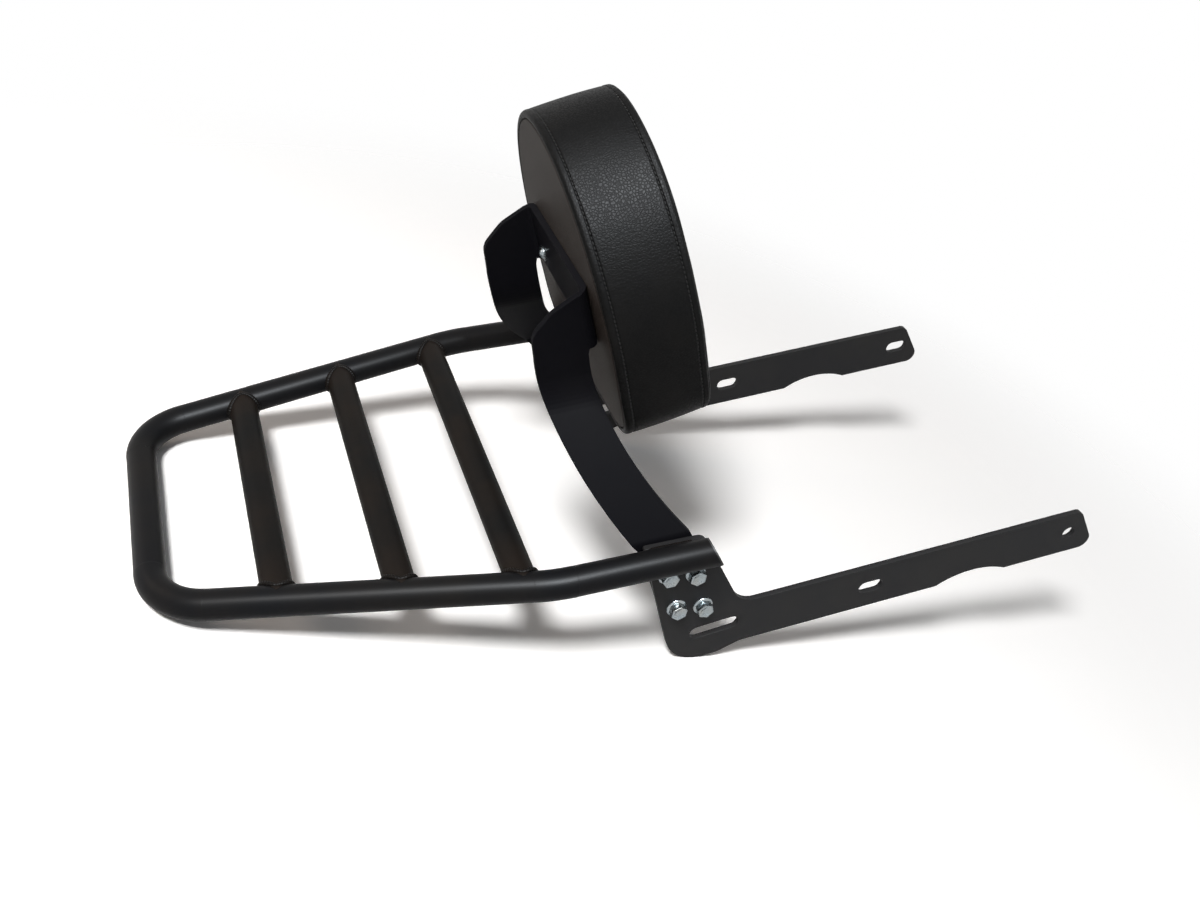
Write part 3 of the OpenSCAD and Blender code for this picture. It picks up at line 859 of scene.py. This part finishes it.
thread_black, tree, shader = finish_of("thread_black", Specular_IOR_Level=0.15, Sheen_Weight=0.1)
where = put(tree, "ShaderNodeTexCoord")
twist = put(tree, "ShaderNodeTexWave", {"Scale": 900.0, "Distortion": 1.5},
            bands_direction="DIAGONAL")
lint = put(tree, "ShaderNodeTexNoise", {"Scale": 2500.0, "Detail": 3.0})
strand = put(tree, "ShaderNodeValToRGB")
strand.color_ramp.elements[0].color = (0.002, 0.002, 0.002, 1)
strand.color_ramp.elements[1].color = (0.011, 0.0107, 0.0102, 1)
ply_skin = put(tree, "ShaderNodeBump", {"Strength": 0.6, "Distance": 0.00008})
soft = put(tree, "ShaderNodeMapRange", {"To Min": 0.5, "To Max": 0.8})
wire(tree, where, "Object", twist, "Vector")
wire(tree, where, "Object", lint, "Vector")
wire(tree, twist, "Fac", strand, "Fac")
wire(tree, twist, "Fac", ply_skin, "Height")
wire(tree, lint, "Fac", soft, "Value")
wire(tree, strand, "Color", shader, "Base Color")
wire(tree, soft, "Result", shader, "Roughness")
wire(tree, ply_skin, "Normal", shader, "Normal")

bpy.context.view_layer.update()
surface = BVHTree.FromObject(cover, bpy.context.evaluated_depsgraph_get())
stitch = bmesh.new()
bmesh.ops.create_uvsphere(stitch, u_segments=6, v_segments=5, radius=1.0,
                          matrix=Matrix.Diagonal((0.0005, 0.00042, 0.0016, 1)))
stitch_mesh = bpy.data.meshes.new("stitch")
stitch.to_mesh(stitch_mesh)
stitch.free()
stitch_pitch = 3.8
stitch_lift = 0.0005
for name, x in (("back_topstitching", back_line), ("front_topstitching", front_line)):
    count = round(pad_round / stitch_pitch)
    whole = bmesh.new()
    for k in range(count):
        share = (k + 0.5) / count
        away = pad_plane @ (rim_point(share, x, -9) * 0.001)
        inner = pad_plane @ (rim_point(share, x, 9) * 0.001)
        step = rim_point(share + 0.002, x, 0) - rim_point(share - 0.002, x, 0)
        spot = surface.ray_cast(away, (inner - away).normalized())[0]
        if spot is None:
            continue
        along = (pad_plane.to_3x3() @ step).normalized()
        up = (away - inner).normalized()
        side = up.cross(along)
        turned = Matrix((side, up, along)).transposed().to_4x4()
        copy = stitch_mesh.copy()
        copy.transform(Matrix.Translation(spot + up * stitch_lift) @ turned
                       @ Matrix.Rotation(0.12, 4, "Y"))
        whole.from_mesh(copy)
        bpy.data.meshes.remove(copy)
    mesh = bpy.data.meshes.new(name)
    whole.to_mesh(mesh)
    whole.free()
    row = piece_from(name, mesh, thread_black)


# Pad back panel.
# A flat panel of smooth brown-grey vinyl closes the back of the pad and hides the staples.
# Its turned-in edge meets the wrapped band in a dark line, and the crown of the hoop bears on it.

shape = bmesh.new()
turn = shape.verts.layers.float.new("turn")
reach = shape.verts.layers.float.new("reach")
panel(shape, turn, reach, 30, lambda r: 0.06, 8.4)
ring = [edge for edge in shape.edges if edge.is_boundary]
tucked_rows = [(0.12, 7.7), (0.4, 7.0), (0.9, 6.65), (1.5, 6.55), (1.9, 6.9)]
last = follow_rim(shape, turn, ring, tucked_rows)
bmesh.ops.holes_fill(shape, edges=last, sides=0)
mesh = bpy.data.meshes.new("pad_back_vinyl")
shape.to_mesh(mesh)
shape.free()
back_vinyl, _, _, _ = grained(
    "back_vinyl", (0.0205, 0.0162, 0.0138), (0.0165, 0.013, 0.011), (0.0245, 0.0195, 0.0167),
    0.5, 0.64, 1500.0, 0.00005, 0.07)
back_panel = piece_from("pad_back_vinyl", mesh, back_vinyl, pad_plane @ Matrix.Scale(0.001, 4))
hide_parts("pad_back_panel")


# Floor.
# A plain pale studio floor. The rack rests on the two feet of the arm plates and on its rear bar,
# so the floor is tilted to touch both in the object's own frame.

feet = [v.co.copy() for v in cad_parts["arm_plate_right"].data.vertices]
bar = [v.co.copy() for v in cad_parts["rack_loop"].data.vertices]
low_tilt, high_tilt = math.radians(5), math.radians(40)
for _ in range(40):
    tilt = (low_tilt + high_tilt) / 2
    up = Vector((math.sin(tilt), 0, math.cos(tilt)))
    if min(up.dot(v) for v in feet) < min(up.dot(v) for v in bar):
        low_tilt = tilt
    else:
        high_tilt = tilt
level = min(up.dot(v) for v in feet)

centre = Vector((-0.4, 0, 0))
centre += up * (level - up.dot(centre))
floor_frame = Matrix.Translation(centre) @ up.to_track_quat("Z", "Y").to_matrix().to_4x4()
shape = bmesh.new()
bmesh.ops.create_circle(shape, cap_ends=True, segments=96, radius=9.0, matrix=floor_frame)
bmesh.ops.recalc_face_normals(shape, faces=shape.faces)
for face in shape.faces:
    if face.normal.dot(up) < 0:
        face.normal_flip()
mesh = bpy.data.meshes.new("floor")
shape.to_mesh(mesh)
shape.free()
floor = bpy.data.objects.new("floor", mesh)
bpy.context.scene.collection.objects.link(floor)
pale, tree, shader = finish_of("pale_floor", Specular_IOR_Level=0.1)
where = put(tree, "ShaderNodeTexCoord")
mottle = put(tree, "ShaderNodeTexNoise", {"Scale": 3.0, "Detail": 2.0})
tone = put(tree, "ShaderNodeMix", {6: (0.93, 0.93, 0.93, 1), 7: (0.96, 0.96, 0.96, 1)},
           data_type="RGBA")
matt = put(tree, "ShaderNodeMapRange", {"To Min": 0.7, "To Max": 0.85})
faces = put(tree, "ShaderNodeNewGeometry")
far_off = put(tree, "ShaderNodeVectorMath", {1: tuple(centre)}, operation="DISTANCE")
fade = put(tree, "ShaderNodeMapRange", {"From Min": 0.42, "From Max": 1.05},
           interpolation_type="SMOOTHSTEP")
gone = put(tree, "ShaderNodeMath", operation="MAXIMUM")
through = put(tree, "ShaderNodeBsdfTransparent")
one_way = put(tree, "ShaderNodeMixShader")
rays = put(tree, "ShaderNodeLightPath")
seen_white = 1.22
as_seen = put(tree, "ShaderNodeBsdfDiffuse", {"Color": (seen_white, seen_white, seen_white, 1)})
shown = put(tree, "ShaderNodeMixShader")
wire(tree, where, "Object", mottle, "Vector")
wire(tree, mottle, "Fac", tone, 0)
wire(tree, mottle, "Fac", matt, "Value")
wire(tree, tone, 2, shader, "Base Color")
wire(tree, matt, "Result", shader, "Roughness")
wire(tree, where, "Object", far_off, 0)
wire(tree, far_off, "Value", fade, "Value")
wire(tree, fade, "Result", gone, 0)
wire(tree, faces, "Backfacing", gone, 1)
wire(tree, gone, "Value", one_way, 0)
wire(tree, rays, "Is Camera Ray", shown, 0)
wire(tree, shader, "BSDF", shown, 1)
wire(tree, as_seen, "BSDF", shown, 2)
wire(tree, shown, "Shader", one_way, 1)
wire(tree, through, "BSDF", one_way, 2)
wire(tree, one_way, "Shader", tree.nodes["Material Output"], "Surface")
mesh.materials.append(pale)


# Light. A softbox hangs above the camera and a small warm one stands behind.
# A card high on the right is seen only as a sheen on the hide and the tubes.
# The world is an even white dome, seen as white and dimmer as light.

aim = Vector((-0.38, 0, 0.1))


def softbox(name, direction, distance, size, power, colour):
    lamp = bpy.data.lights.new(name, "AREA")
    lamp.shape = "RECTANGLE"
    lamp.size, lamp.size_y = size
    lamp.energy = power
    lamp.color = colour
    holder = bpy.data.objects.new(name, lamp)
    bpy.context.scene.collection.objects.link(holder)
    out = Vector(direction).normalized()
    holder.matrix_world = (Matrix.Translation(aim + out * distance)
                           @ out.to_track_quat("Z", "Y").to_matrix().to_4x4())
    return holder


softbox("key_box", (-0.23, -0.40, 0.89), 2.8, (0.55, 0.55), 82, (1.0, 0.99, 0.98))
softbox("rear_box", (-0.75, 0.35, 0.72), 1.9, (1.0, 0.7), 6, (1.0, 0.84, 0.72))
sheen_box = softbox("sheen_box", (0.10, -0.55, 0.83), 1.7, (0.4, 0.4), 120, (0.90, 0.95, 1.0))
sheen_box.visible_diffuse = False

dome = bpy.data.worlds.new("white_dome")
bpy.context.scene.world = dome
dome.use_nodes = True
tree = dome.node_tree
tree.nodes.clear()
rays = put(tree, "ShaderNodeLightPath")
seen = put(tree, "ShaderNodeMath", operation="MAXIMUM")
seen_too = put(tree, "ShaderNodeMath", operation="MAXIMUM")
dome_light = 0.17
level_of = put(tree, "ShaderNodeMapRange", {"To Min": dome_light, "To Max": 1.0})
sky = put(tree, "ShaderNodeBackground", {"Color": (1, 1, 1, 1)})
out = put(tree, "ShaderNodeOutputWorld")
wire(tree, rays, "Is Camera Ray", seen, 0)
wire(tree, rays, "Is Glossy Ray", seen, 1)
wire(tree, seen, "Value", seen_too, 0)
wire(tree, rays, "Is Transmission Ray", seen_too, 1)
wire(tree, seen_too, "Value", level_of, "Value")
wire(tree, level_of, "Result", sky, "Strength")
wire(tree, sky, "Background", out, "Surface")


# Camera.
# It stands where the photograph was taken from, above and behind the right side.
# Lens and axes were found by fitting the holes, tubes and bends to the picture.

lens = bpy.data.cameras.new("photo_camera")
lens.sensor_width = 36
lens.lens = 37.12
lens.clip_end = 50
camera = bpy.data.objects.new("photo_camera", lens)
bpy.context.scene.collection.objects.link(camera)
axes = Matrix(((0.947961, -0.317615, -0.022166),
               (0.217355, 0.594706, 0.774003),
               (-0.232653, -0.738543, 0.632793))).transposed()
camera_spot = (-0.670339, -0.838568, 0.804962)
camera.matrix_world = Matrix.Translation(camera_spot) @ axes.to_4x4()
bpy.context.scene.camera = camera
bpy.context.scene.view_settings.view_transform = "Standard"
